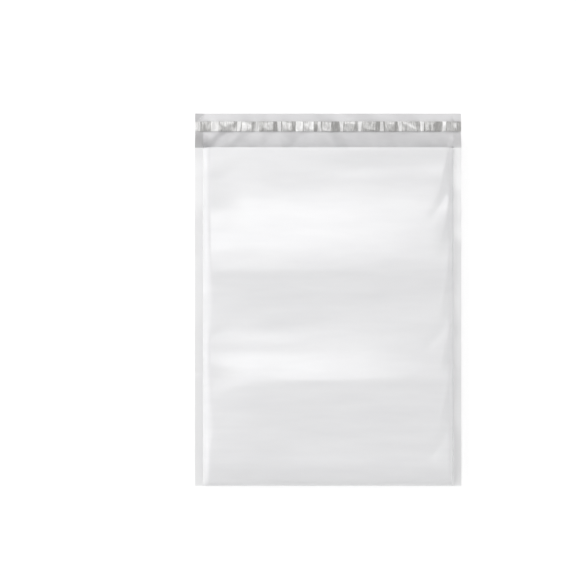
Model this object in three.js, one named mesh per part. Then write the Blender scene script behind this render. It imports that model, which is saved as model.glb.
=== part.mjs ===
// A padded poly mailer, empty and unsealed, lying on its back with its flap open.
// Millimetres, +Z up. X runs across the mailer, Y from the bottom fold to the flap.
// The origin is under the middle of the mailer, on the surface that it lies on.
import * as THREE from "three";
import { ParametricGeometry } from "three/addons/geometries/ParametricGeometry.js";
import { mergeGeometries, mergeVertices } from "three/addons/utils/BufferGeometryUtils.js";

// The bag
const WIDTH = 216; // across, from one cut edge to the other
const POCKET_LENGTH = 274; // bottom fold to mouth
const FLAP_LENGTH = 28; // mouth to the flap's free edge
const SEAL_WIDTH = 6.5; // heat seal down each side
const FILM = 0.1; // gauge of the outer film
const EDGE_ROLL = 7; // how far the padded walls take to rise from a side seal
const FOLD_ROLL = 14; // how far they take to rise from the bottom fold

// The bubble liner
const LINER = 3; // height of the bubble film
const LAMINATION_GAP = 0.2; // outer film to liner
const LINER_SETBACK = 2; // the liner stops this far short of the mouth
const POCKET_GAP = 5.4; // free height between the liner's two walls

// The closing strip on the flap
const STRIP_MARGIN = 6.5; // flap's free edge to the release strip
const STRIP_WIDTH = 8;
const STRIP_FILM = 0.1;
const PLEAT_PITCH = 16.6; // average distance from one pleat of the strip to the next
const PLEAT_CREASES = [ // shares of the pitch and of the crease's full height
  { along: 0, lift: 0 },
  { along: 0.19, lift: 0.85 },
  { along: 0.27, lift: 0.6 },
  { along: 0.77, lift: 0.9 },
];
const CRINKLE_HEIGHT = 1.1; // highest crease above the lowest
const CRINKLE_SHIFT = 1.5; // how far a crease strays from its even place
const CRINKLE_HEIGHTS = [0.55, 1]; // lowest and highest crease, as shares of its full height
const ADHESIVE_WIDTH = 6;
const ADHESIVE_THICKNESS = 0.3;
const SEAT_GAP = 0.05; // between pieces that lie on each other
const SETTLE_CLEARANCE = 1; // the flap lies flat this far before the strip

// Soft rolls across the padded front. For each: distance of its crest from the bottom fold, its rise,
// how far it runs out towards the mouth and the fold, the power of each side's fall (1 for a ridge,
// 2 for a bell), how round the crest is, how it slants across, how much higher its left end is, and
// the shares of the rise that are left at the left and right seams.
const ROLLS = [
  {
    crest: 174, rise: 2.8, radius: 2.5, slant: 0, lean: 0,
    runs: [39, 16], powers: [3, 1], ends: [0.6, 0.7],
  },
  {
    crest: 87, rise: 2.7, radius: 2, slant: 0.02, lean: 0.25,
    runs: [23, 80], powers: [1, 2], ends: [0.5, 0.5],
  },
  {
    crest: 17, rise: 1.1, radius: 2, slant: -0.01, lean: 0,
    runs: [13, 8], powers: [1, 1], ends: [1, 1],
  },
  {
    crest: 274, rise: 0.7, radius: 1, slant: 0, lean: 0,
    runs: [10, 25], powers: [1, 1], ends: [1, 1],
  },
];
const ROLL_ENDS = [60, 20]; // how far from the middle the rolls start to run out, left and right
const PANEL_BOW = 0.7; // how much higher the middle of the front is than its sides

// Spacing of the stations that the soft surfaces are drawn through
const FLAT_STEP = 23; // across the middle
const ROLL_STEP = 2.3; // in the roll at a side
const FOLD_STEP = 2.8; // in the roll at the fold
const POCKET_STEP = 11; // from the fold's roll to the mouth
const SETTLE_STEP = 3.1; // where the flap comes down to the surface
const STATION_BUNCHING = 1.5; // draws the stations of a side roll towards its seal

const yFold = -(POCKET_LENGTH + FLAP_LENGTH) / 2;
const yMouth = yFold + POCKET_LENGTH;
const yFlapEnd = yMouth + FLAP_LENGTH;
const settleLength = FLAP_LENGTH - STRIP_MARGIN - STRIP_WIDTH - SETTLE_CLEARANCE;
const xSeam = WIDTH / 2 - SEAL_WIDTH;
const linerOutside = LAMINATION_GAP; // depths below the outer film's inner face
const linerInside = LAMINATION_GAP + LINER;
const wallDepth = FILM + linerInside + POCKET_GAP / 2; // from a wall's outside to the seals' plane

const materials = {
  film: new THREE.MeshStandardMaterial({ color: 0xf1f1f3, roughness: 0.38, metalness: 0 }),
  bubble: new THREE.MeshStandardMaterial({ color: 0xdde1e4, roughness: 0.3, metalness: 0 }),
  adhesive: new THREE.MeshStandardMaterial({ color: 0xe4e1d6, roughness: 0.5, metalness: 0 }),
  release: new THREE.MeshStandardMaterial({ color: 0xc6c7c9, roughness: 0.22, metalness: 0 }),
};

// Number of cells, each about one step long, in a length.
function cellsIn(length, step) {
  return Math.max(Math.round(length / step), 1);
}

// Evenly spaced values from start to end, both included.
function spread(start, end, cells) {
  return Array.from({ length: cells + 1 }, (_, i) => start + ((end - start) * i) / cells);
}

// Height of the seals' plane: level along the pocket, then down to the surface along the flap.
function seamHeight(y) {
  const share = Math.min(Math.max((y - yMouth) / settleLength, 0), 1);
  return FILM + ((wallDepth - FILM) * (1 + Math.cos(Math.PI * share))) / 2;
}

// Share of the full height at x, for a layer that starts `depth` inside the seam.
function sideRoll(x, depth) {
  const fromSeam = xSeam - Math.abs(x);
  const toFlat = Math.min(Math.max(EDGE_ROLL - fromSeam, 0) / (EDGE_ROLL - depth), 1);
  return 1 - toFlat ** 2;
}

// Share of the full height at y, for a layer that starts `depth` inside the fold.
function foldRoll(y, depth) {
  const toFlat = Math.min(Math.max(FOLD_ROLL - (y - yFold), 0) / (FOLD_ROLL - depth), 1);
  return Math.sqrt(1 - toFlat ** 2);
}

// Share of a roll's rise that is left at x, as it nears a seam.
function rollEnd(x, ends) {
  const side = x < 0 ? 0 : 1;
  const start = ROLL_ENDS[side];
  return 1 - (1 - ends[side]) * THREE.MathUtils.smoothstep(Math.abs(x), start, xSeam);
}

// Extra height of the front over a level wall.
function frontRelief(x, y) {
  const bow = PANEL_BOW * (1 - Math.min(Math.abs(x) / xSeam, 1) ** 2);
  return ROLLS.reduce((sum, { crest, rise, runs, powers, radius, slant, lean, ends }) => {
    const away = y - (yFold + crest + slant * x);
    const side = away > 0 ? 0 : 1;
    const fall = ((Math.hypot(away, radius) - radius) / runs[side]) ** powers[side];
    return sum + rise * (1 - (lean * x) / xSeam) * rollEnd(x, ends) * Math.exp(-fall);
  }, bow);
}

// The front and back surfaces of a layer: `inset` is its depth under the outer film's inner face,
// and `foldInset` its depth inside the fold.
function frontOf(inset, foldInset) {
  return (x, y) => {
    const full = wallDepth - FILM - inset + frontRelief(x, y);
    return seamHeight(y) + full * sideRoll(x, inset) * foldRoll(y, foldInset);
  };
}
function backOf(inset, foldInset) {
  return (x, y) => {
    const full = seamHeight(y) - FILM - inset;
    return seamHeight(y) - full * sideRoll(x, inset) * foldRoll(y, foldInset);
  };
}

// Stations across a layer, close together in the rolls at its sides.
function stationsAcross(inset, withSeals) {
  const xFlat = xSeam - EDGE_ROLL;
  const flat = spread(0, xFlat, cellsIn(xFlat, FLAT_STEP));
  const roll = spread(0, 1, cellsIn(EDGE_ROLL, ROLL_STEP))
    .slice(0, -1)
    .map((share) => xSeam - inset - (EDGE_ROLL - inset) * share ** STATION_BUNCHING)
    .reverse();
  const half = [...flat, ...roll, ...(withSeals ? [WIDTH / 2] : [])];
  return [...half.slice(1).map((x) => -x).reverse(), ...half];
}

// Stations along a layer from the fold to `end`, close together at the fold and with one at each crest.
function stationsAlong(foldInset, end) {
  const fold = spread(0, Math.PI / 2, cellsIn(FOLD_ROLL, FOLD_STEP)).map(
    (angle) => yFold + foldInset + (FOLD_ROLL - foldInset) * (1 - Math.cos(angle)),
  );
  const crests = ROLLS.map((roll) => roll.crest)
    .filter((crest) => crest > FOLD_ROLL && crest < POCKET_LENGTH - LINER_SETBACK)
    .sort((a, b) => a - b);
  const breaks = [FOLD_ROLL, ...crests, POCKET_LENGTH];
  const stretches = breaks.slice(1).map((to, i) => {
    const from = breaks[i];
    const stop = to === POCKET_LENGTH ? end : yFold + to;
    return spread(yFold + from, stop, cellsIn(to - from, POCKET_STEP)).slice(1);
  });
  return [...fold, ...stretches.flat()];
}

// One face of a piece: a grid over two lists of stations, seen from the side where a turn from
// u to v is anticlockwise.
function face(us, vs, pointAt) {
  const at = (list, share) => list[Math.round(share * (list.length - 1))];
  const surface = (u, v, target) => target.set(...pointAt(at(us, u), at(vs, v)));
  return new ParametricGeometry(surface, us.length - 1, vs.length - 1);
}

// The same face, seen from its other side.
function turned(part) {
  part.index.array.reverse();
  return part;
}

// Joins faces that share their edges into one closed geometry.
function closed(faces) {
  faces.forEach((part) => {
    part.deleteAttribute("normal");
    part.deleteAttribute("uv");
  });
  const solid = mergeVertices(mergeGeometries(faces));
  solid.computeVertexNormals();
  return solid;
}

// The outer film: one web folded at the bottom, sealed down both sides, with a wall that runs on
// past the mouth as the flap.
function outerFilm() {
  const outFront = (x, y) => frontOf(0, 0)(x, y) + FILM;
  const outBack = (x, y) => backOf(0, 0)(x, y) - FILM;
  const inFront = frontOf(0, FILM);
  const inBack = backOf(0, FILM);

  const across = stationsAcross(0, true);
  const inside = stationsAcross(0, false);
  const pocket = stationsAlong(0, yMouth);
  const pocketInside = stationsAlong(FILM, yMouth);
  const settle = spread(yMouth, yMouth + settleLength, cellsIn(settleLength, SETTLE_STEP));
  const flap = [...settle, yFlapEnd];
  const web = [...pocket, ...flap.slice(1)];

  const doubleEdge = [-FILM, 0, FILM];
  const singleEdge = [-FILM, 0];
  const right = WIDTH / 2;

  return closed([
    face(across, pocket, (x, y) => [x, y, outFront(x, y)]),
    turned(face(across, web, (x, y) => [x, y, outBack(x, y)])),
    turned(face(inside, pocketInside, (x, y) => [x, y, inFront(x, y)])),
    face(inside, pocketInside, (x, y) => [x, y, inBack(x, y)]),
    face(across, flap, (x, y) => [x, y, inBack(x, y)]),
    // Fold, lip of the mouth, end of the flap
    face(across, doubleEdge, (x, rise) => [x, yFold, seamHeight(yFold) + rise]),
    turned(face(across, [0, FILM], (x, rise) => [x, yMouth, inFront(x, yMouth) + rise])),
    turned(face(across, singleEdge, (x, rise) => [x, yFlapEnd, inBack(x, yFlapEnd) + rise])),
    // Cut edges: two films thick beside the pocket, one beside the flap
    face(pocket, doubleEdge, (y, rise) => [right, y, seamHeight(y) + rise]),
    turned(face(pocket, doubleEdge, (y, rise) => [-right, y, seamHeight(y) + rise])),
    face(flap, singleEdge, (y, rise) => [right, y, seamHeight(y) + rise]),
    turned(face(flap, singleEdge, (y, rise) => [-right, y, seamHeight(y) + rise])),
  ]);
}

// The bubble liner: a padded sleeve inside the film, folded with it and pinched at the side seals.
function bubbleLiner() {
  const end = yMouth - LINER_SETBACK;
  const shells = [linerOutside, linerInside].map((inset) => ({
    front: frontOf(inset, FILM + inset),
    back: backOf(inset, FILM + inset),
    across: stationsAcross(inset, false),
    along: stationsAlong(FILM + inset, end),
  }));
  const [outer, inner] = shells;
  const columns = outer.across.map((_, i) => i);
  const rim = (side) => (i, shell) => [shell.across[i], end, shell[side](shell.across[i], end)];

  return closed([
    face(outer.across, outer.along, (x, y) => [x, y, outer.front(x, y)]),
    turned(face(outer.across, outer.along, (x, y) => [x, y, outer.back(x, y)])),
    turned(face(inner.across, inner.along, (x, y) => [x, y, inner.front(x, y)])),
    face(inner.across, inner.along, (x, y) => [x, y, inner.back(x, y)]),
    turned(face(columns, [inner, outer], rim("front"))),
    face(columns, [inner, outer], rim("back")),
  ]);
}

// The band of adhesive on the inside of the flap, under the release strip.
function adhesiveStrip() {
  const band = new THREE.BoxGeometry(WIDTH, ADHESIVE_WIDTH, ADHESIVE_THICKNESS);
  const middle = yFlapEnd - STRIP_MARGIN - STRIP_WIDTH / 2;
  return band.translate(0, middle, FILM + SEAT_GAP + ADHESIVE_THICKNESS / 2);
}

// Scattered values between two limits, the same on every run.
function scatter(index, [low, high]) {
  const goldenShare = (Math.sqrt(5) - 1) / 2;
  return low + (high - low) * ((index * goldenShare) % 1);
}

// The release strip: a thin tape over the adhesive, pleated and crinkled across its length.
function releaseStrip() {
  const pleats = Math.max(Math.round(WIDTH / PLEAT_PITCH), 1);
  const pitch = WIDTH / pleats;
  const count = pleats * PLEAT_CREASES.length;
  const shiftStride = 3; // keeps the shifts apart from the heights
  const line = Array.from({ length: count + 1 }, (_, i) => {
    const isEnd = i === 0 || i === count;
    const { along, lift } = PLEAT_CREASES[i % PLEAT_CREASES.length];
    const even = (Math.floor(i / PLEAT_CREASES.length) + along) * pitch - WIDTH / 2;
    const shift = isEnd ? 0 : scatter(shiftStride * i, [-CRINKLE_SHIFT, CRINKLE_SHIFT]);
    return new THREE.Vector2(even + shift, lift * scatter(i, CRINKLE_HEIGHTS) * CRINKLE_HEIGHT);
  });
  const under = [...line].reverse().map((point) => new THREE.Vector2(point.x, point.y - STRIP_FILM));
  const tape = new THREE.ExtrudeGeometry(new THREE.Shape([...under, ...line]), {
    depth: STRIP_WIDTH,
    bevelEnabled: false,
  });
  tape.rotateX(Math.PI / 2);
  const seat = FILM + 2 * SEAT_GAP + ADHESIVE_THICKNESS + STRIP_FILM;
  return tape.translate(0, yFlapEnd - STRIP_MARGIN, seat);
}

const mailer = new THREE.Group();
const pieces = [
  ["outer_film", outerFilm(), materials.film],
  ["bubble_liner", bubbleLiner(), materials.bubble],
  ["adhesive_strip", adhesiveStrip(), materials.adhesive],
  ["release_strip", releaseStrip(), materials.release],
];
for (const [name, geometry, material] of pieces) {
  const mesh = new THREE.Mesh(geometry, material);
  mesh.name = name;
  mailer.add(mesh);
}

export default mailer;
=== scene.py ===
"""A padded poly mailer, empty and unsealed, lying on its back with its flap open."""

import math

import bmesh
import bpy
import numpy as np
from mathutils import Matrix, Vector, geometry, noise


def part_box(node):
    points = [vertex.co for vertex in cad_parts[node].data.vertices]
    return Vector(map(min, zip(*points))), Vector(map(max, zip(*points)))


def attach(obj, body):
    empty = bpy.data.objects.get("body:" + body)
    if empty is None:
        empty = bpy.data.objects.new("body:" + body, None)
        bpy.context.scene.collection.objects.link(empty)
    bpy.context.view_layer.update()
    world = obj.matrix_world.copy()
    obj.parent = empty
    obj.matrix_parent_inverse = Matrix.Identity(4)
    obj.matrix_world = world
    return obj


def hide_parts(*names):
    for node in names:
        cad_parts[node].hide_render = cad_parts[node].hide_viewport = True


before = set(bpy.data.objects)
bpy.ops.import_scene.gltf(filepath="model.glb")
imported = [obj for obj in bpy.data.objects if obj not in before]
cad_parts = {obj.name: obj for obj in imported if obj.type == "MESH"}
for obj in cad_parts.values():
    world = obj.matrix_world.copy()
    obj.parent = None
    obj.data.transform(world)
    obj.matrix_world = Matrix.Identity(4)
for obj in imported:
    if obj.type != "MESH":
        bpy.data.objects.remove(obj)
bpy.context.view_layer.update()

MM = 0.001
LEFT, RIGHT = -1, 1

# Sizes of the bag, in millimetres
SEAL_WIDTH = 6.5  # heat seal down each side
FILM = 0.1  # gauge of the outer film
LINER = 3.0  # height of the bubble film
LAMINATION_GAP = 0.2  # outer film to liner
LINER_SETBACK = 2.0  # the liner stops this far short of the mouth
POCKET_GAP = 5.4  # free height between the liner's two walls
EDGE_ROLL = {LEFT: 6.0, RIGHT: 4.2}  # how far the padded walls take to rise from the seals
EDGE_POWER = {LEFT: 2.0, RIGHT: 3.0}  # how late they bend down to the seals, 2 for a plain arch
ROLL_ZONE = 19.0  # no roll from a seam is wider than this
FOLD_ROLL = 14.0  # how far the walls take to rise from the bottom fold
SETTLE_CLEARANCE = 1.0  # the flap lies flat this far before the strip

# Soft rolls across the padded front: distance of the crest from the bottom fold, its rise, how far
# it runs out towards the mouth and the fold, the power of each side's fall (1 for a ridge, 2 for a
# bell), how round the crest is in the middle and how much rounder at the left seam, how it slants
# across, how far its left end bends towards the fold, how much higher its left end is, and the
# shares of the rise that are left at the left and right seams.
ROLLS = [
    dict(
        crest=174, rise=2.8, runs=(39, 16), powers=(3, 1), radii=(2.5, 0),
        slant=0.0, droop=0, lean=0.0, ends=(0.6, 0.55),
    ),
    dict(
        crest=83, rise=2.7, runs=(23, 80), powers=(1, 2), radii=(6, 16),
        slant=0.02, droop=26, lean=0.25, ends=(0.5, 0.5),
    ),
    dict(
        crest=95, rise=0.09, runs=(9, 9), powers=(1, 2), radii=(1.5, 0),
        slant=-0.04, droop=0, lean=0.2, ends=(1, 0),
    ),
    dict(
        crest=17, rise=1.1, runs=(13, 8), powers=(1, 1), radii=(2, 4),
        slant=-0.01, droop=0, lean=0.0, ends=(1, 1),
    ),
    dict(
        crest=274, rise=0.7, runs=(10, 25), powers=(1, 1), radii=(1, 0),
        slant=0.0, droop=0, lean=0.0, ends=(1, 1),
    ),
    dict(
        crest=259, rise=-0.1, runs=(7, 7), powers=(2, 2), radii=(1, 0),
        slant=0.02, droop=0, lean=0.0, ends=(0, 1),
    ),
]
ROLL_DROOP_START = 55.0  # how far left of the middle a crest starts to bend towards the fold
ROLL_DROOP_POWER = 2  # how much of that bend comes late
ROLL_ROUND_POWER = 3  # how late a crest gets rounder towards the left seam
ROLL_ENDS = {LEFT: 60.0, RIGHT: 20.0}  # how far from the middle the rolls start to run out
PANEL_BOW = 0.7  # how much higher the middle of the front is than its sides

# Gathers along the side seams, where a wall is pinched: the roll widens slowly on the flap's side of
# the gather and snaps back on the fold's side. The sweep is how far a gather runs towards the flap
# for each step into the panel.
GATHERS = [
    dict(side=RIGHT, along=106.0, widen=8.0, length=34.0, back=19.0, sweep=-1.8),
    dict(side=RIGHT, along=60.0, widen=6.5, length=26.0, back=14.0, sweep=-1.5),
    dict(side=RIGHT, along=5.0, widen=8.0, length=46.0, back=20.0, sweep=-1.9),
    dict(side=RIGHT, along=-44.0, widen=7.0, length=26.0, back=14.0, sweep=-1.2),
    dict(side=RIGHT, along=-87.0, widen=9.5, length=42.0, back=20.0, sweep=-1.8),
    dict(side=LEFT, along=-8.0, widen=4.0, length=60.0, back=30.0, sweep=0.5),
    dict(side=LEFT, along=-105.0, widen=4.0, length=60.0, back=30.0, sweep=0.5),
]
GATHER_ROUND = 6.0  # how softly a gather turns from widening to snapping back
GATHER_POWER = 2.5  # how soon a gather narrows towards the flap

# Dents and creases of the front; a bend carries a crease's far end off its line
PANEL_CREASES = [
    dict(start=(-103.0, 62.0), end=(-90.0, 66.0), rise=-1.5, widths=(27.0, 13.0)),
    dict(start=(-99.0, 95.0), end=(-78.0, 103.0), rise=-0.1, widths=(6.0, 6.0)),
    dict(start=(-97.0, -3.0), end=(-74.0, 8.0), rise=-0.12, widths=(5.0, 6.0)),
    dict(start=(-97.0, -30.0), end=(-76.0, -20.0), rise=-0.15, widths=(5.5, 6.0)),
    dict(start=(-101.0, -144.0), end=(-66.0, -149.0), rise=-2.2, widths=(10.0, 10.0)),
    dict(start=(-40.0, 80.0), end=(75.0, 80.0), rise=-0.6, widths=(26.0, 26.0)),
    dict(start=(10.0, 103.0), end=(70.0, 101.0), rise=-0.15, widths=(10.0, 10.0)),
    dict(start=(98.0, 82.0), end=(98.0, 42.0), rise=-0.42, widths=(9.0, 9.0)),
    dict(start=(99.0, 92.0), end=(89.0, 68.0), rise=-0.16, widths=(4.0, 4.0), bend=4.0),
    dict(start=(99.0, -12.0), end=(87.0, -38.0), rise=-0.18, widths=(4.0, 4.0), bend=5.0),
    dict(start=(99.0, -102.0), end=(88.0, -126.0), rise=-0.26, widths=(4.0, 4.0), bend=4.0),
]

# The seals' curl, ripple and crease
SEAL_CURL = {LEFT: 0.6, RIGHT: 0.6}  # how far the cut edges stand above the seam
SEAL_RIPPLE = 0.3
SEAL_RIPPLE_SIZE = (30.0, 14.0)  # across, along
SEAL_RIPPLE_PLACE = 50.0  # keeps the two seals' ripples unlike each other
SEAL_CREASE = dict(along=-59.0, depth=0.25, width=1.6)

# Waves and creases of the open flap
FLAP_EASE = 15.0  # the waves start this far inside the mouth
FLAP_WAVE = 2.0
FLAP_WAVE_SIZE = (13.0, 34.0)  # across, along
FLAP_WAVE_SKEW = 0.7
FLAP_RIDGE = dict(across=3.0, rise=0.4, run=26.0)
FLAP_CORNER = dict(reach=8.0, slope=0.3)  # creased left corner of the flap's free edge
FLAP_CREASES = [
    dict(start=(-99.0, 128.0), end=(-88.0, 138.0), rise=0.7, widths=(3.5, 3.5)),
    dict(start=(-93.0, 124.0), end=(-82.0, 135.0), rise=-0.9, widths=(3.5, 3.5)),
    dict(start=(-84.0, 124.0), end=(-71.0, 136.0), rise=0.6, widths=(4.0, 4.0)),
    dict(start=(-56.0, 121.0), end=(-42.0, 136.0), rise=-0.35, widths=(4.0, 4.0)),
    dict(start=(-32.0, 121.0), end=(-18.0, 136.0), rise=-0.35, widths=(4.0, 4.0)),
    dict(start=(92.0, 124.0), end=(82.0, 136.0), rise=0.3, widths=(4.0, 4.0)),
]

# Shallow streaks across the front and dents of the back
STREAK_HEIGHT = 0.13
STREAK_SIZE = (75.0, 12.0)  # across, along
BACK_DENT = 0.35
BACK_DENT_SIZE = (60.0, 26.0)  # across, along

# The bubble film
BUBBLE_PITCH = 10.6
BUBBLE_RADIUS = 4.8
BUBBLE_SKIN = 0.15
BUBBLE_MARGIN = 7.0  # no bubbles this close to the seams and the fold
BUBBLE_POWER = 3  # how flat a bubble's top is, 2 for half an ellipse
BUBBLE_RINGS = ((1.0, 14), (0.93, 14), (0.72, 10), (0.4, 6), (0.0, 1))  # share of the radius, points
BUBBLE_CLEARANCE = 1.12  # plain film starts at this share of a bubble's radius

# The release strip: pleats across it, each with four creases
STRIP_FILM = 0.1
PLEAT_PITCH = 16.6
PLEAT_CREASES = ((0.0, 0.0), (0.19, 0.85), (0.27, 0.6), (0.77, 0.9))  # shares of pitch and height
PLEAT_PAINTED_LIGHT = (0.85, 0.15, 0.32, 0.06)  # painted light and shade of the facet after each crease: light where it faces left, dark where it faces right
PLEAT_PAINTED_LIGHT_SPREAD = 0.25
FULLY_PAINTED_LIGHT_FACETS = (3, 4)  # facets near the left end that are painted fully light
CRINKLE_HEIGHT = 1.1  # highest crease above the lowest
CRINKLE_SHIFT = 1.5  # how far a crease strays from its even place
CRINKLE_SLANT = 0.9  # how far a crease leans from one edge of the strip to the other
CRINKLE_HEIGHTS = (0.55, 1.0)  # lowest and highest crease, as shares of its full height
CREASE_WAVE = dict(share=0.2, between=2.2, along=5)  # a crease's height changes from edge to edge
FACET_EASE = 0.4  # how far a facet is rounded off towards its creases
FINE_CRINKLE = 0.22  # height of the fine crinkles
FINE_CRINKLE_SIZE = (1.1, 5.0)  # across, along
FINE_CRINKLE_SPAN = 8.0  # width over which they are laid out
STRIP_EDGE_DROOP = 0.25  # share of the height that is lost at the strip's long edges
STRIP_EDGE_POWER = 5  # how near to the edges that happens
SHIFT_STEP, SLANT_STEP, PAINTED_LIGHT_STEP = 3, 7, 5  # keep the scattered values apart

# The adhesive band
GLUE_INSET = 0.5  # mean distance of its edge from the edge of its solid
GLUE_EDGE_WAVE = 0.4
GLUE_EDGE_SIZE = (9.0, 1.0)  # across, along
GLUE_EDGE_PLACE = 20.0  # keeps its two edges unlike each other
GLUE_EDGE_HEIGHT = 0.25  # share of the height at its edges
GLUE_CROWN = 0.65  # share of the height that the middle adds
GLUE_CROWN_POWER = 4

# Where each noise starts
SEEDS = dict(streaks=3.7, dents=6.4, ripple=8.1, flap=5.3, strip=2.6, glue=1.9)

# How many stations the meshes have, counted from edge to edge of each part
FILM_STATIONS = dict(flat=37, roll=15, seal=5, fold=13, pocket=161, settle=13, flap=11)
LINER_STATIONS = dict(flat=33, roll=11, fold=9, pocket=61)
STRIP_STATIONS = dict(facet=12, along=9)
GLUE_STATIONS = dict(across=161, along=11)
BUNCHING = 1.5  # how much closer the stations of a roll stand near the seam
MERGE_DISTANCE = 0.002  # edges of neighbouring faces meet within this
RIM = 0.01  # points this close to an edge of the liner lie on it
NET_WHOLE = 0  # the net of triangles covers everything between its points
NET_TOLERANCE = 1e-4

# Places taken from the solids, in millimetres
film_low, film_high = (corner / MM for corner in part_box("outer_film"))
strip_low, strip_high = (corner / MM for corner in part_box("release_strip"))
glue_low, glue_high = (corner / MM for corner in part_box("adhesive_strip"))
width = film_high.x - film_low.x
y_fold = film_low.y
y_flap_end = film_high.y
y_liner_end = (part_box("bubble_liner")[1] / MM).y
y_mouth = y_liner_end + LINER_SETBACK
x_seam = width / 2 - SEAL_WIDTH
settle_length = strip_low.y - SETTLE_CLEARANCE - y_mouth
wall_depth = FILM + LAMINATION_GAP + LINER + POCKET_GAP / 2


# The form of the bag

def noise_field(x, y, size, seed):
    """Smooth noise between about -1 and 1 at each point, with waves of about the given size."""
    x, y = np.broadcast_arrays(x, y)
    flat = zip(np.ravel(x) / size[0], np.ravel(y) / size[1])
    values = [noise.noise(Vector((u, v, seed))) for u, v in flat]
    return np.reshape(values, np.shape(x))


def smooth(share):
    """An even rise from 0 to 1 that starts and ends level."""
    return share * share * (3 - 2 * share)


def by_side(x, values):
    """The left or the right value, by where each point is."""
    return np.where(x < 0, values[LEFT], values[RIGHT])


def seam_height(y):
    """Height of the seals' plane: level along the pocket, then down to the surface along the flap."""
    share = np.clip((y - y_mouth) / settle_length, 0, 1)
    return FILM + (wall_depth - FILM) * (1 + np.cos(np.pi * share)) / 2


def roll_width(x, y):
    """How far a wall takes to rise from the seam, wider at each gather."""
    total = by_side(x, EDGE_ROLL)
    inward = np.clip(x_seam - np.abs(x), 0, ROLL_ZONE)
    for gather in GATHERS:
        past = y - gather["along"] - gather["sweep"] * inward
        rounded = np.hypot(past, GATHER_ROUND) - GATHER_ROUND
        slow = np.clip(1 - rounded / gather["length"], 0, 1) ** GATHER_POWER
        quick = np.clip(1 + past / gather["back"], 0, 1)
        shape = np.where(past > 0, slow, smooth(quick))
        total = total + np.where(np.sign(x) == gather["side"], gather["widen"] * shape, 0)
    return np.minimum(total, ROLL_ZONE)


def side_roll(x, y, depth):
    """Share of the full height for a layer that starts depth inside the seam."""
    from_seam = x_seam - np.abs(x)
    reach = roll_width(x, y)
    to_flat = np.clip((reach - from_seam) / (reach - depth), 0, 1)
    return 1 - to_flat ** by_side(x, EDGE_POWER)


def fold_roll(y, depth):
    """Share of the full height for a layer that starts depth inside the fold."""
    to_flat = np.clip((FOLD_ROLL - (y - y_fold)) / (FOLD_ROLL - depth), 0, 1)
    return np.sqrt(1 - to_flat ** 2)


def roll_end(x, ends):
    """Share of a roll's rise that is left as it nears a seam."""
    start = by_side(x, ROLL_ENDS)
    left = np.where(x < 0, *ends)
    return 1 - (1 - left) * smooth(np.clip((np.abs(x) - start) / (x_seam - start), 0, 1))


def roll_height(x, y):
    """Extra height that the soft rolls give the front."""
    total = np.zeros(np.shape(x))
    bend = np.clip((-x - ROLL_DROOP_START) / (x_seam - ROLL_DROOP_START), 0, 1) ** ROLL_DROOP_POWER
    leftward = np.clip(-x / x_seam, 0, 1) ** ROLL_ROUND_POWER
    for roll in ROLLS:
        away = y - (y_fold + roll["crest"] + roll["slant"] * x - roll["droop"] * bend)
        run = np.where(away > 0, *roll["runs"])
        power = np.where(away > 0, *roll["powers"])
        crisp, softer = roll["radii"]
        radius = crisp + softer * leftward
        rise = roll["rise"] * (1 - roll["lean"] * x / x_seam) * roll_end(x, roll["ends"])
        total += rise * np.exp(-((np.hypot(away, radius) - radius) / run) ** power)
    return total


def crease_lift(x, y, crease):
    """A soft ridge or groove that runs out beyond both of its ends."""
    start, end = np.array(crease["start"]), np.array(crease["end"])
    length = np.hypot(*(end - start))
    run = (end - start) / length
    along = (x - start[0]) * run[0] + (y - start[1]) * run[1]
    across = (x - start[0]) * run[1] - (y - start[1]) * run[0]
    across = across - crease.get("bend", 0) * np.clip(along / length, 0, 1) ** 2
    beyond = np.clip(np.maximum(-along, along - length), 0, None)
    spread = np.where(across < 0, *crease["widths"])
    fade = np.mean(crease["widths"])
    return crease["rise"] * np.exp(-(across / spread) ** 2 - (beyond / fade) ** 2)


def front_relief(x, y):
    """How far the front stands above the level of the seams' plane and the walls' depth."""
    total = PANEL_BOW * (1 - np.clip(x / x_seam, -1, 1) ** 2)
    streaks = STREAK_HEIGHT * noise_field(x, y, STREAK_SIZE, SEEDS["streaks"])
    total = total + roll_height(x, y) + streaks
    for crease in PANEL_CREASES:
        total = total + crease_lift(x, y, crease)
    return total


def back_relief(x, y):
    """How far the back panel is dented in; it never stands out."""
    dents = np.clip(noise_field(x, y, BACK_DENT_SIZE, SEEDS["dents"]), 0, None)
    return BACK_DENT * dents * np.clip((y_mouth - y) / FOLD_ROLL, 0, 1)


def seal_lift(x, y):
    """How far the seals curl up from the seams' plane."""
    share = np.clip((np.abs(x) - x_seam) / SEAL_WIDTH, 0, 1)
    waves = noise_field(np.sign(x) * SEAL_RIPPLE_PLACE, y, SEAL_RIPPLE_SIZE, SEEDS["ripple"])
    from_crease = (y - SEAL_CREASE["along"]) / SEAL_CREASE["width"]
    crease = SEAL_CREASE["depth"] * np.exp(-from_crease ** 2)
    lift = share * (by_side(x, SEAL_CURL) + SEAL_RIPPLE * waves - crease)
    return lift * (seam_height(y) - FILM) / (wall_depth - FILM)


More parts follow.
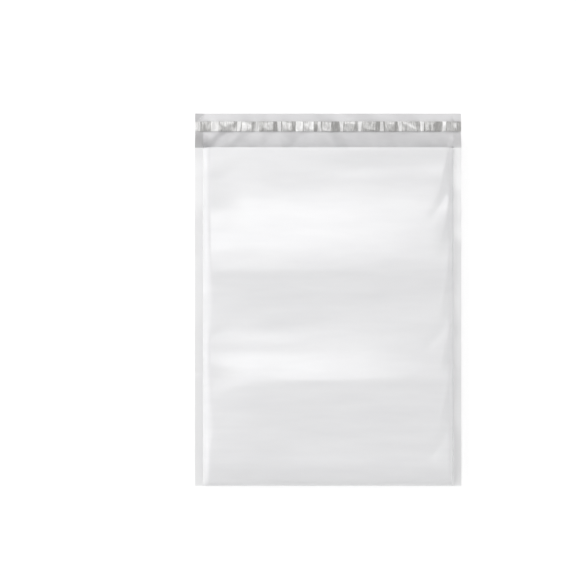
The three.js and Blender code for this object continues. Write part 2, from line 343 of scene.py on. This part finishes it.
def flap_lift(x, y):
    """How far the open flap stands off the surface that it lies on."""
    start = np.clip((y - y_mouth) / FLAP_EASE + 1, 0, 1)
    end = np.clip((y_flap_end - y) / (y_flap_end - strip_high.y), 0, 1)
    skewed = x + FLAP_WAVE_SKEW * (y - y_mouth)
    waves = FLAP_WAVE * (1 + noise_field(skewed, y, FLAP_WAVE_SIZE, SEEDS["flap"])) / 2
    waves = waves + FLAP_RIDGE["rise"] * np.exp(-np.abs(x - FLAP_RIDGE["across"]) / FLAP_RIDGE["run"])
    for crease in FLAP_CREASES:
        waves = waves + crease_lift(x, y, crease)
    inward = np.clip((x_seam - LAMINATION_GAP - BUBBLE_SKIN - np.abs(x)) / ROLL_ZONE, 0, 1)
    beyond = (y - y_flap_end) - (x + width / 2) + FLAP_CORNER["reach"]
    corner = FLAP_CORNER["slope"] * np.clip(beyond, 0, None)
    lift = smooth(start) * end * np.sqrt(inward) * waves + corner * (y > y_mouth)
    return np.clip(lift, 0, None)


def front_of(x, y, inset, fold_inset):
    """The front surface of a layer, inset under the outer film's inner face."""
    full = wall_depth - FILM - inset + front_relief(x, y)
    return seam_height(y) + seal_lift(x, y) + full * side_roll(x, y, inset) * fold_roll(y, fold_inset)


def back_of(x, y, inset, fold_inset):
    """The back surface of a layer, and the inside of the flap."""
    seam = seam_height(y)
    full = seam - FILM - inset
    lift = seal_lift(x, y) + flap_lift(x, y)
    roll = side_roll(x, y, inset) * fold_roll(y, fold_inset)
    return seam + lift + (back_relief(x, y) - full) * roll


# Meshes

def linked(name, data):
    """An object in the scene."""
    thing = bpy.data.objects.new(name, data)
    bpy.context.scene.collection.objects.link(thing)
    return thing


class Faces:
    """Faces of one piece, in millimetres, gathered and joined where their edges meet."""

    def __init__(self):
        self.points = []
        self.faces = []
        self.slots = []
        self.count = 0

    def add(self, points, faces, slot=0, turned=False):
        """Adds faces, seen from above unless they are turned."""
        order = -1 if turned else 1
        self.points.append(points)
        self.faces.extend((np.asarray(faces)[:, ::order] + self.count).tolist())
        self.slots.extend([slot] * len(faces))
        self.count += len(points)

    def grid(self, x, y, z, slot=0, turned=False):
        """Adds a grid of points whose rows run along x."""
        rows, columns = np.shape(z)
        index = np.arange(rows * columns).reshape(rows, columns)
        corners = (index[:-1, :-1], index[:-1, 1:], index[1:, 1:], index[1:, :-1])
        quads = np.stack([corner.ravel() for corner in corners], axis=1)
        spread = [np.broadcast_to(values, np.shape(z)).ravel() for values in (x, y, z)]
        self.add(np.stack(spread, axis=1), quads, slot, turned)

    def wall(self, x, y, low, high, turned):
        """Adds an upright wall between two lines of heights."""
        self.grid(np.stack([x, x]), np.stack([y, y]), np.stack([low, high]), turned=turned)

    def slab(self, x, y, low, high):
        """Adds a closed slab between two grids of heights."""
        self.grid(x, y, high)
        self.grid(x, y, low, turned=True)
        for row, turned in ((0, False), (-1, True)):
            self.wall(x[row], y[row], low[row], high[row], turned)
        for column, turned in ((0, True), (-1, False)):
            self.wall(*(values[:, column] for values in (x, y, low, high)), turned)

    def build(self, name, materials, sharp_degrees):
        """Makes the piece, smooth but for edges that are sharper than an angle."""
        mesh = bpy.data.meshes.new(name)
        mesh.from_pydata(np.concatenate(self.points) * MM, [], self.faces)
        mesh.polygons.foreach_set("material_index", self.slots)
        shape = bmesh.new()
        shape.from_mesh(mesh)
        bmesh.ops.remove_doubles(shape, verts=shape.verts, dist=MERGE_DISTANCE * MM)
        shape.to_mesh(mesh)
        shape.free()
        mesh.shade_smooth()
        mesh.set_sharp_from_angle(angle=math.radians(sharp_degrees))
        for material in materials:
            mesh.materials.append(material)
        return linked(name, mesh)


def stations_across(with_seals):
    """Places across the outer film, closer together near the seams."""
    flat = np.linspace(0, x_seam - ROLL_ZONE, FILM_STATIONS["flat"])
    roll = x_seam - ROLL_ZONE * np.linspace(1, 0, FILM_STATIONS["roll"])[1:] ** BUNCHING
    seal = np.linspace(x_seam, width / 2, FILM_STATIONS["seal"])[1:] if with_seals else []
    half = np.concatenate([flat, roll, seal])
    return np.concatenate([-half[:0:-1], half])


def stations_along(fold_inset):
    """Places along the pocket for a layer that starts fold_inset inside the fold."""
    angles = np.linspace(0, math.pi / 2, FILM_STATIONS["fold"])
    fold = y_fold + fold_inset + (FOLD_ROLL - fold_inset) * (1 - np.cos(angles))
    return np.concatenate([fold[:-1], np.linspace(y_fold + FOLD_ROLL, y_mouth, FILM_STATIONS["pocket"])])


def scatter(index, low, high):
    """Scattered values between two limits, the same on every run."""
    golden = (math.sqrt(5) - 1) / 2
    return low + (high - low) * ((index * golden) % 1)


# Materials: a darker and a lighter colour, the range of roughness, and the sizes of the patches, the
# worn spots and the grain across, along and up, in millimetres

WHITE = dict(
    sockets={"IOR": 1.5}, colours=((0.8, 0.8, 0.812), (0.84, 0.84, 0.85)), patches=(60, 11, 30),
    # the seal colour is painted light that lifts the seals out of the padded walls' shade
    seal=(0.875, 0.875, 0.88), seal_blend=0.3,
    roughness=(0.17, 0.23), worn=(35, 35, 35), grain=(2.5, 1.2, 2.5), grain_depth=0.008,
)
GREY = dict(
    sockets={"IOR": 1.5}, colours=((0.68, 0.675, 0.685), (0.75, 0.745, 0.755)), patches=(18, 26, 20),
    # the seal colour is partly the seal's own grey and partly painted shade, stronger at the left
    seal=(0.5, 0.495, 0.5), seal_blend=0.4, strip_blend=0.5, painted_shade_right_share=0.3, painted_shade_side_blend=50,
    roughness=(0.28, 0.4), worn=(25, 25, 25), grain=(1.2, 1.2, 1.2), grain_depth=0.01,
)
BUBBLE = dict(
    sockets={"IOR": 1.5, "Alpha": 0.6}, colours=((0.78, 0.81, 0.83), (0.87, 0.89, 0.9)),
    patches=(14, 14, 14), roughness=(0.14, 0.24), worn=(9, 9, 9),
)
GLUE = dict(
    sockets={"IOR": 1.45}, colours=((0.68, 0.66, 0.58), (0.8, 0.78, 0.71)), patches=(5, 3, 4),
    roughness=(0.3, 0.55), worn=(3, 3, 3), grain=(1.5, 1.5, 1.5), grain_depth=0.05,
)
# The tape's darker and lighter colours are the ends of its painted light and shade, set facet by facet
TAPE = dict(
    sockets={"IOR": 1.6}, colours=((0.4, 0.395, 0.385), (0.93, 0.925, 0.92)),
    fibres=(0.9, 5.0, 1.0), fibre_detail=3.0, fibre_depth=0.3,
    roughness=(0.12, 0.2), worn=(2, 2, 2), grain=(0.6, 2.0, 1.0), grain_depth=0.02,
)
NOISE_DETAIL = 2.0
NOISE_ENDS = (0.3, 0.7)  # nearly all values of a noise lie between these
MIX_FIRST, MIX_SECOND, MIX_RESULT = 6, 7, 2  # colour sockets of a mix node


def add_node(tree, kind, inputs=None, **settings):
    """Adds a node whose inputs are plain values or other nodes' outputs."""
    node = tree.nodes.new(kind)
    for setting, value in settings.items():
        setattr(node, setting, value)
    for socket, value in (inputs or {}).items():
        if isinstance(value, bpy.types.NodeSocket):
            tree.links.new(value, node.inputs[socket])
        else:
            node.inputs[socket].default_value = value
    return node


class Look:
    """A principled material and the nodes that vary it over the surface."""

    def __init__(self, name, values):
        self.values = values
        self.material = bpy.data.materials.new(name)
        self.material.use_nodes = True
        self.tree = self.material.node_tree
        self.shader = self.tree.nodes["Principled BSDF"]
        for socket, value in values["sockets"].items():
            self.shader.inputs[socket].default_value = value
        self.place = self.add("ShaderNodeTexCoord").outputs["Object"]

    def add(self, kind, inputs=None, **settings):
        return add_node(self.tree, kind, inputs, **settings)

    def set(self, socket, value):
        self.tree.links.new(value, self.shader.inputs[socket])

    def combine(self, operation, first, second):
        """Two amounts added or multiplied."""
        return self.add("ShaderNodeMath", {0: first, 1: second}, operation=operation).outputs[0]

    def noise(self, waves, detail=NOISE_DETAIL):
        """Noise between 0 and 1, with waves of the given sizes across, along and up, in millimetres."""
        scale = [1 / (size * MM) for size in waves]
        stretched = self.add("ShaderNodeMapping", {"Vector": self.place, "Scale": scale})
        inputs = {"Vector": stretched.outputs[0], "Scale": 1.0, "Detail": detail}
        return self.add("ShaderNodeTexNoise", inputs).outputs["Fac"]

    def between(self, amount, low, high, ends=NOISE_ENDS):
        """Maps an amount onto the range from low to high."""
        inputs = {"Value": amount, "From Min": ends[0], "From Max": ends[1], "To Min": low, "To Max": high}
        return self.add("ShaderNodeMapRange", inputs).outputs["Result"]

    def mix(self, share, first, second):
        """Mixes two colours by a share."""
        inputs = {"Factor": share, MIX_FIRST: first, MIX_SECOND: second}
        return self.add("ShaderNodeMix", inputs, data_type="RGBA").outputs[MIX_RESULT]

    def colour(self, amount, ends=NOISE_ENDS):
        """The material's colour, between its darker and its lighter one by an amount."""
        low, high = self.values["colours"]
        return self.mix(self.between(amount, 0, 1, ends), (*low, 1), (*high, 1))

    def patched(self):
        """The material's colour in soft patches."""
        return self.colour(self.noise(self.values["patches"]))

    def seal_and_painted_light_share(self):
        """Share of the seal colour, a painted lightening on the white film and partly painted shade on the
        grey: 0 inside the side seams and 1 outside them.
        """
        across = self.add("ShaderNodeSeparateXYZ", {"Vector": self.place}).outputs["X"]
        out = self.add("ShaderNodeMath", {0: across}, operation="ABSOLUTE").outputs[0]
        inputs = {0: out, 1: 1 / MM, 2: -x_seam}
        beyond = self.add("ShaderNodeMath", inputs, operation="MULTIPLY_ADD").outputs[0]
        blend = self.values["seal_blend"]
        return self.between(beyond, 0, 1, ends=(-blend, blend))

    def finished(self, colour):
        """The material in a colour, with its gloss and, where it has one, its grain."""
        self.set("Base Color", colour)
        self.set("Roughness", self.between(self.noise(self.values["worn"]), *self.values["roughness"]))
        if "grain" in self.values:
            height = self.noise(self.values["grain"])
            inputs = {"Height": height, "Strength": 1.0, "Distance": self.values["grain_depth"] * MM}
            self.set("Normal", self.add("ShaderNodeBump", inputs).outputs["Normal"])
        return self.material


def plain_look(name, values):
    look = Look(name, values)
    return look.finished(look.patched())


def white_look():
    """The outside of the film, whiter at the seals, a painted lightening that offsets the shade the padded
    walls cast on them.
    """
    look = Look("white_film", WHITE)
    plain = look.patched()
    # painted lightening of the seals
    return look.finished(look.mix(look.seal_and_painted_light_share(), plain, (*WHITE["seal"], 1)))


def grey_look():
    """The inside of the film, greyer where the seals run on below the strip, and darker still towards the
    left seal, a painted shade for how that seal tilts from the light.
    """
    look = Look("grey_film", GREY)
    plain = look.patched()
    share = look.seal_and_painted_light_share()
    axes = look.add("ShaderNodeSeparateXYZ", {"Vector": look.place}).outputs
    strip_ends = [(strip_low.y + step * GREY["strip_blend"]) * MM for step in (-1, 1)]
    side_ends = [step * GREY["painted_shade_side_blend"] * MM for step in (-1, 1)]
    below = look.between(axes["Y"], 1, 0, strip_ends)
    # painted shade: the seals' darkening stays whole at the left and drops to a share at the right
    leftward = look.between(axes["X"], 1, GREY["painted_shade_right_share"], side_ends)
    share = look.combine("MULTIPLY", share, below)
    share = look.combine("MULTIPLY", share, leftward)
    return look.finished(look.mix(share, plain, (*GREY["seal"], 1)))


def tape_look():
    """Clear tape with painted light and shade: light on facets that face left, dark on facets that face
    right, with fibre streaks.
    """
    look = Look("release_tape", TAPE)
    # painted light and shade of each facet, stored on the strip's faces
    painted_facet_light = look.add("ShaderNodeAttribute", attribute_name="painted_facet_light").outputs["Fac"]
    fibres = look.noise(TAPE["fibres"], TAPE["fibre_detail"])
    streaks = look.between(fibres, -TAPE["fibre_depth"], TAPE["fibre_depth"])
    return look.finished(look.colour(look.combine("ADD", painted_facet_light, streaks), ends=(0, 1)))


white_film = white_look()
grey_film = grey_look()
bubble_film = plain_look("bubble_film", BUBBLE)
glue = plain_look("hot_melt", GLUE)
release_film = tape_look()


# Pieces

OUTSIDE, INSIDE = 0, 1
SHARP_DEGREES = dict(film=50, sleeve=75, strip=12, glue=50)  # an edge sharper than this shows


def outer_film():
    """One folded web: front, back with the flap, their insides, and its cut edges."""
    across = stations_across(with_seals=True)
    inside = stations_across(with_seals=False)
    pocket = stations_along(0)
    pocket_inside = stations_along(FILM)
    settle = np.linspace(y_mouth, y_mouth + settle_length, FILM_STATIONS["settle"])
    flat_flap = np.linspace(settle[-1], y_flap_end, FILM_STATIONS["flap"])
    flap = np.concatenate([settle, flat_flap[1:]])
    web = np.concatenate([pocket, flap[1:]])
    faces = Faces()

    x, y = np.meshgrid(across, pocket)
    faces.grid(x, y, front_of(x, y, 0, 0) + FILM, OUTSIDE)
    x, y = np.meshgrid(across, web)
    faces.grid(x, y, back_of(x, y, 0, 0) - FILM, OUTSIDE, turned=True)
    x, y = np.meshgrid(inside, pocket_inside)
    faces.grid(x, y, front_of(x, y, 0, FILM), INSIDE, turned=True)
    faces.grid(x, y, back_of(x, y, 0, FILM), INSIDE)
    x, y = np.meshgrid(across, flap)
    faces.grid(x, y, back_of(x, y, 0, FILM), INSIDE)

    double, single = np.array([-FILM, 0, FILM]), np.array([-FILM, 0])
    x, rise = np.meshgrid(across, double)
    y = np.full_like(x, y_fold)
    faces.grid(x, y, front_of(x, y, 0, 0) + rise, OUTSIDE)
    x, rise = np.meshgrid(across, [0, FILM])
    y = np.full_like(x, y_mouth)
    faces.grid(x, y, front_of(x, y, 0, FILM) + rise, OUTSIDE, turned=True)
    x, rise = np.meshgrid(across, single)
    y = np.full_like(x, y_flap_end)
    faces.grid(x, y, back_of(x, y, 0, FILM) + rise, OUTSIDE, turned=True)
    for side, turned in ((RIGHT, False), (LEFT, True)):
        for stations, edge in ((pocket, double), (flap, single)):
            y, rise = np.meshgrid(stations, edge)
            x = np.full_like(y, side * width / 2)
            faces.grid(x, y, back_of(x, y, 0, 0) + rise, OUTSIDE, turned=turned)
    return faces.build("mailer_film", [white_film, grey_film], SHARP_DEGREES["film"])


def bubble_centres():
    """Places of the bubbles, in staggered rows from the mouth to the fold."""
    reach = x_seam - BUBBLE_MARGIN - BUBBLE_RADIUS
    row_step = BUBBLE_PITCH * math.sqrt(3) / 2
    first = y_fold + BUBBLE_MARGIN + BUBBLE_RADIUS
    last = y_liner_end - BUBBLE_RADIUS - BUBBLE_SKIN
    rows = int((last - first) / row_step)
    columns = int(reach / BUBBLE_PITCH)
    centres = []
    for row in range(rows + 1):
        offset = BUBBLE_PITCH / 2 * (row % 2)
        for column in range(-columns, columns + 1):
            x = column * BUBBLE_PITCH + offset
            if abs(x) <= reach:
                centres.append((x, last - row * row_step))
    return np.array(centres)


def bubble_points(centres):
    """Points of all the bubbles, and their heights as shares of a bubble's height."""
    rings = []
    rises = []
    for share, count in BUBBLE_RINGS:
        angles = np.arange(count) * 2 * np.pi / count
        rings.append(BUBBLE_RADIUS * share * np.stack([np.cos(angles), np.sin(angles)], axis=1))
        rises.append(np.full(count, np.sqrt(1 - share ** BUBBLE_POWER)))
    points = (centres[:, None, :] + np.concatenate(rings)[None, :, :]).reshape(-1, 2)
    return points, np.tile(np.concatenate(rises), len(centres))


def bubble_liner():
    """A sleeve of bubble film whose bubbles face the pocket."""
    outside = LAMINATION_GAP
    inside = LAMINATION_GAP + BUBBLE_SKIN
    half = x_seam - outside
    length = y_liner_end - y_fold - FILM - outside
    roll = half - (ROLL_ZONE - outside) * np.linspace(0, 1, LINER_STATIONS["roll"]) ** BUNCHING
    flat = np.linspace(-roll[-1], roll[-1], LINER_STATIONS["flat"])
    across = np.concatenate([-roll, flat[1:-1], roll[::-1]])
    angles = np.linspace(0, math.pi / 2, LINER_STATIONS["fold"])
    fold = (FOLD_ROLL - FILM - outside) * (1 - np.cos(angles))
    pocket = np.linspace(fold[-1], length, LINER_STATIONS["pocket"])
    along = np.concatenate([fold[:-1], pocket]) - length + y_liner_end

    def placed(x, y, inset):
        """The same point of a layer that lies deeper than the outside one."""
        shrink = (length + outside - inset) / length
        return x * (x_seam - inset) / half, y_liner_end + (y - y_liner_end) * shrink

    def front(x, y, inset):
        x, y = placed(x, y, inset)
        return x, y, front_of(x, y, inset, FILM + inset)

    def back(x, y, inset):
        x, y = placed(x, y, inset)
        return x, y, back_of(x, y, inset, FILM + inset)

    faces = Faces()
    x, y = np.meshgrid(across, along)
    faces.grid(*front(x, y, outside))
    faces.grid(*back(x, y, outside), turned=True)

    centres = bubble_centres()
    bubbles, rises = bubble_points(centres)
    plain = np.stack([x.ravel(), y.ravel()], axis=1)
    away = np.array([np.min(np.hypot(*(centres - point).T)) for point in plain])
    clear = away > BUBBLE_CLEARANCE * BUBBLE_RADIUS
    at_sides = np.abs(plain[:, 0]) >= half - RIM
    at_ends = (plain[:, 1] <= along[0] + RIM) | (plain[:, 1] >= along[-1] - RIM)
    plain = plain[clear | at_sides | at_ends]
    points = np.concatenate([bubbles, plain])
    rise = np.concatenate([rises, np.zeros(len(plain))])
    flat_points = [Vector(point) for point in points]
    net = geometry.delaunay_2d_cdt(flat_points, [], [], NET_WHOLE, NET_TOLERANCE)
    _, _, triangles, origins, _, _ = net
    triangles = np.array(triangles)
    source = [origin[0] for origin in origins]
    px, py = points[source].T
    lift = rise[source] * (LINER - BUBBLE_SKIN)
    rim = (np.abs(px) > half - RIM) | (py < along[0] + RIM)
    triangles = triangles[~rim[triangles].all(axis=1)]
    x, y, z = front(px, py, inside)
    faces.add(np.stack([x, y, z - lift], axis=1), triangles, turned=True)
    x, y, z = back(px, py, inside)
    faces.add(np.stack([x, y, z + lift], axis=1), triangles)

    mouth = np.full_like(across, y_liner_end)
    for side, turned in ((front, True), (back, False)):
        rows = [side(across, mouth, inset) for inset in (inside, outside)]
        x, y, z = (np.stack(values) for values in zip(*rows))
        faces.grid(x, y, z, turned=turned)
    return faces.build("bubble_sleeve", [bubble_film], SHARP_DEGREES["sleeve"])


def release_strip():
    """A thin tape over the adhesive, pleated and crinkled across its length."""
    kinds = len(PLEAT_CREASES)
    pleats = round(width / PLEAT_PITCH)
    count = pleats * kinds
    index = np.arange(count + 1)
    kind = index % kinds
    shares, heights = np.array(PLEAT_CREASES).T
    inner = (index > 0) & (index < count)
    shift = np.where(inner, scatter(SHIFT_STEP * index, -CRINKLE_SHIFT, CRINKLE_SHIFT), 0)
    lean = np.where(inner, scatter(SLANT_STEP * index, -CRINKLE_SLANT, CRINKLE_SLANT), 0)
    rise = heights[kind] * scatter(index, *CRINKLE_HEIGHTS) * CRINKLE_HEIGHT
    even = (index // kinds + shares[kind]) * width / pleats - width / 2
    share = np.linspace(0, 1, STRIP_STATIONS["along"])[:, None]
    crease_x = even + shift + lean * (share - 0.5)
    wave = np.sin(CREASE_WAVE["between"] * index + CREASE_WAVE["along"] * share)
    crease_z = rise * (1 + CREASE_WAVE["share"] * wave)

    steps = STRIP_STATIONS["facet"]
    fine = np.arange(count * steps + 1) / steps
    facet = np.minimum(fine.astype(int), count - 1)
    part = fine - facet
    eased = (1 - FACET_EASE) * part + FACET_EASE * smooth(part)
    x = crease_x[:, facet] * (1 - part) + crease_x[:, facet + 1] * part
    z = crease_z[:, facet] * (1 - eased) + crease_z[:, facet + 1] * eased
    crinkles = noise_field(x, share * FINE_CRINKLE_SPAN, FINE_CRINKLE_SIZE, SEEDS["strip"])
    z = z + FINE_CRINKLE * (1 + crinkles) / 2
    z = z * (1 - STRIP_EDGE_DROOP * np.abs(2 * share - 1) ** STRIP_EDGE_POWER)
    y = np.broadcast_to(strip_low.y + share * (strip_high.y - strip_low.y), z.shape)
    top = strip_low.z + STRIP_FILM + z + flap_lift(x, y)
    faces = Faces()
    faces.slab(x, y, top - STRIP_FILM, top)
    piece = faces.build("crinkled_strip", [release_film], SHARP_DEGREES["strip"])

    # Painted light and shade for each face: light on facets that face left, dark on facets that face right
    rows = STRIP_STATIONS["along"] - 1
    long_sides = np.tile(facet[:-1], 2 * rows + 2)
    facets = np.concatenate([long_sides, np.repeat([0, count - 1], rows)])
    strays = scatter(PAINTED_LIGHT_STEP * facets, -PLEAT_PAINTED_LIGHT_SPREAD, PLEAT_PAINTED_LIGHT_SPREAD)
    facet_painted_light = np.array(PLEAT_PAINTED_LIGHT)[facets % kinds] + strays
    facet_painted_light[np.isin(facets, FULLY_PAINTED_LIGHT_FACETS)] = 1
    painted_facet_light = piece.data.attributes.new("painted_facet_light", "FLOAT", "FACE")
    painted_facet_light.data.foreach_set("value", np.clip(facet_painted_light, 0, 1))
    return piece


def adhesive_strip():
    """A low band of hot melt with uneven edges."""
    across = np.linspace(-width / 2, width / 2, GLUE_STATIONS["across"])
    share = np.linspace(-1, 1, GLUE_STATIONS["along"])[:, None]
    middle = (glue_low.y + glue_high.y) / 2
    reach = (glue_high.y - glue_low.y) / 2 - GLUE_INSET
    waves = noise_field(across, np.sign(share) * GLUE_EDGE_PLACE, GLUE_EDGE_SIZE, SEEDS["glue"])
    y = middle + share * (reach + GLUE_EDGE_WAVE * waves)
    x = np.broadcast_to(across, y.shape)
    base = glue_low.z + flap_lift(x, y)
    dome = np.sqrt(1 - share ** GLUE_CROWN_POWER)
    crown = (glue_high.z - glue_low.z) * (GLUE_EDGE_HEIGHT + GLUE_CROWN * dome)
    faces = Faces()
    faces.slab(x, y, base, base + crown)
    return faces.build("adhesive_band", [glue], SHARP_DEGREES["glue"])


def place(piece, node):
    """Lets a piece stand for a solid and move with the mailer."""
    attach(piece, "root")
    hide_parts(node)


film = outer_film()
sleeve = bubble_liner()
place(film, "outer_film")
place(sleeve, "bubble_liner")
place(adhesive_strip(), "adhesive_strip")
place(release_strip(), "release_strip")


# Stage

FLOOR_HALF = 3.0
FLOOR_DROP = 0.2  # millimetres that keep the back panel clear of the floor
FLOOR_LIT = (0.8, 0.8, 0.8, 1)  # colour that lights the mailer from below
FLOOR_SEEN = (0.35, 0.35, 0.35, 1)  # colour that carries the shadow where the floor is seen
FLOOR_GLOW = 0.74  # brings the seen floor up to near white
WORLD_STRENGTH = 0.11

LIGHTS = [
    dict(name="softbox", at=(-0.2, 0.72, 3.0), target=(-0.2, 0.72, 0), size=(1.2, 1.2), watts=24),
    dict(name="left_card", at=(-1.2, 0.0, 0.66), size=(3.0, 1.3), watts=23, in_gloss=False),
    dict(name="right_card", at=(1.15, 0.0, 0.7), size=(3.0, 1.3), watts=9.5),
    dict(name="front_card", at=(0.8, -1.1, 0.45), size=(1.8, 0.7), watts=5.2, in_gloss=False),
    dict(name="back_card", at=(0.0, 2.2, 1.6), size=(3.0, 1.6), watts=12.5),
]


def floor_material():
    """A plain floor that looks near white to the camera, in gloss and through film."""
    material = bpy.data.materials.new("floor")
    material.use_nodes = True
    tree = material.node_tree
    tree.nodes.clear()
    path = add_node(tree, "ShaderNodeLightPath")
    seen = path.outputs["Is Camera Ray"]
    for ray in ("Is Glossy Ray", "Is Transmission Ray"):
        inputs = {0: seen, 1: path.outputs[ray]}
        seen = add_node(tree, "ShaderNodeMath", inputs, operation="ADD", use_clamp=True).outputs[0]
    strength = add_node(tree, "ShaderNodeMath", {0: seen, 1: FLOOR_GLOW}, operation="MULTIPLY")
    glow = add_node(tree, "ShaderNodeEmission", {"Strength": strength.outputs[0]})
    inputs = {"Factor": seen, MIX_FIRST: FLOOR_LIT, MIX_SECOND: FLOOR_SEEN}
    shade = add_node(tree, "ShaderNodeMix", inputs, data_type="RGBA")
    diffuse = add_node(tree, "ShaderNodeBsdfDiffuse", {"Color": shade.outputs[MIX_RESULT]})
    both = add_node(tree, "ShaderNodeAddShader", {0: diffuse.outputs[0], 1: glow.outputs[0]})
    add_node(tree, "ShaderNodeOutputMaterial", {"Surface": both.outputs[0]})
    return material


def floor():
    signs = ((-1, -1), (1, -1), (1, 1), (-1, 1))
    corners = [(x * FLOOR_HALF, y * FLOOR_HALF, -FLOOR_DROP * MM) for x, y in signs]
    mesh = bpy.data.meshes.new("floor")
    mesh.from_pydata(corners, [], [(0, 1, 2, 3)])
    mesh.materials.append(floor_material())
    linked("floor", mesh)


def area_light(name, at, size, watts, target=(0, 0, 0), in_gloss=True):
    """A rectangular light that faces a target, in metres."""
    data = bpy.data.lights.new(name, "AREA")
    data.shape = "RECTANGLE"
    data.size, data.size_y = size
    data.energy = watts
    light = linked(name, data)
    light.location = at
    light.visible_glossy = in_gloss
    light.rotation_euler = (Vector(target) - Vector(at)).to_track_quat("-Z", "Y").to_euler()


floor()
for light_values in LIGHTS:
    area_light(**light_values)
world = bpy.data.worlds.new("studio")
bpy.context.scene.world = world
world.use_nodes = True
background = world.node_tree.nodes["Background"]
background.inputs["Color"].default_value = (1, 1, 1, 1)
background.inputs["Strength"].default_value = WORLD_STRENGTH

# Camera, looking straight down as the photograph looks square on
FRAME_PIXELS = 576
PHOTO_WIDTH = 266.5  # pixels that the mailer is wide
PHOTO_CENTRE = (328.2, 299.5)  # pixel of its middle
LENS = 180
SENSOR = 36
camera_data = bpy.data.cameras.new("camera")
camera_data.lens = LENS
camera_data.sensor_width = SENSOR
camera = linked("camera", camera_data)
pixel = width * MM / PHOTO_WIDTH
camera.location = (
    (FRAME_PIXELS / 2 - PHOTO_CENTRE[0]) * pixel,
    (PHOTO_CENTRE[1] - FRAME_PIXELS / 2) * pixel,
    pixel * FRAME_PIXELS * LENS / SENSOR + seam_height(0) * MM,
)
bpy.context.scene.camera = camera
bpy.context.scene.view_settings.view_transform = "Standard"
